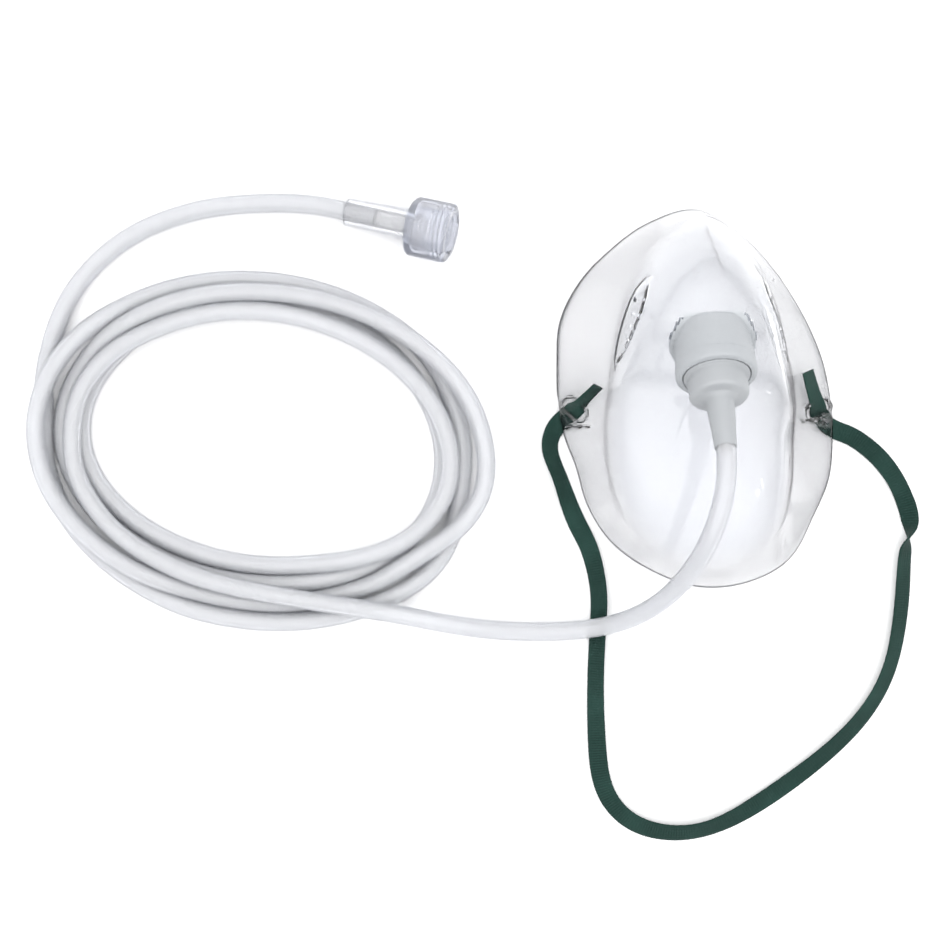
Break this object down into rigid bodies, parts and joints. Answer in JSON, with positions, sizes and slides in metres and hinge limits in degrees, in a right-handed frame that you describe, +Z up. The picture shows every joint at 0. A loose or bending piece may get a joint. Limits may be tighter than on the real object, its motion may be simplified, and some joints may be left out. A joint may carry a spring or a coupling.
{
  "type": "oxygen face mask",
  "caption": "Clear soft oxygen face mask with a swivel tube adapter, coiled supply tube, screw-on end connector and elastic head strap.",
  "frame": {"origin": "on the table, below the middle of the mask shell's outline", "axes": "+Z up, +Y towards the nose end of the mask, +X to the wearer's left when the mask is worn"},
  "size_m": [0.3137, 0.2265, 0.0651],
  "materials": {
    "clear_vinyl": "clear soft vinyl, glossy",
    "frosted_plastic": "frosted, slightly see-through",
    "tube_vinyl": "clear vinyl tube, glossy",
    "cuff_vinyl": "clear soft vinyl, glossy",
    "nut_plastic": "clear hard plastic with a blue-grey cast, glossy",
    "elastic": "woven elastic band, dark green"
  },
  "bodies": {
    "shell": {"mask_shell": "clear_vinyl", "tube_mask_lead": "tube_vinyl", "tube_coil": "tube_vinyl", "tube_end_lead": "tube_vinyl", "end_cuff": "cuff_vinyl", "gland_nipple": "frosted_plastic", "head_strap": "elastic"},
    "adapter": {"port_adapter": "frosted_plastic"},
    "nut": {"swivel_nut": "nut_plastic"}
  },
  "joints": [
    {"name": "adapter_swivel", "type": "hinge", "parent": "shell", "child": "adapter", "pos_m": [0.00166, 0.01032, 0.04263], "axis": [0.0462, -0.8817, 0.4695], "continuous": true},
    {"name": "nut_swivel", "type": "hinge", "parent": "shell", "child": "nut", "pos_m": [-0.09839, 0.05985, 0.00969], "axis": [0.9539, -0.229, 0.1942], "continuous": true}
  ]
}
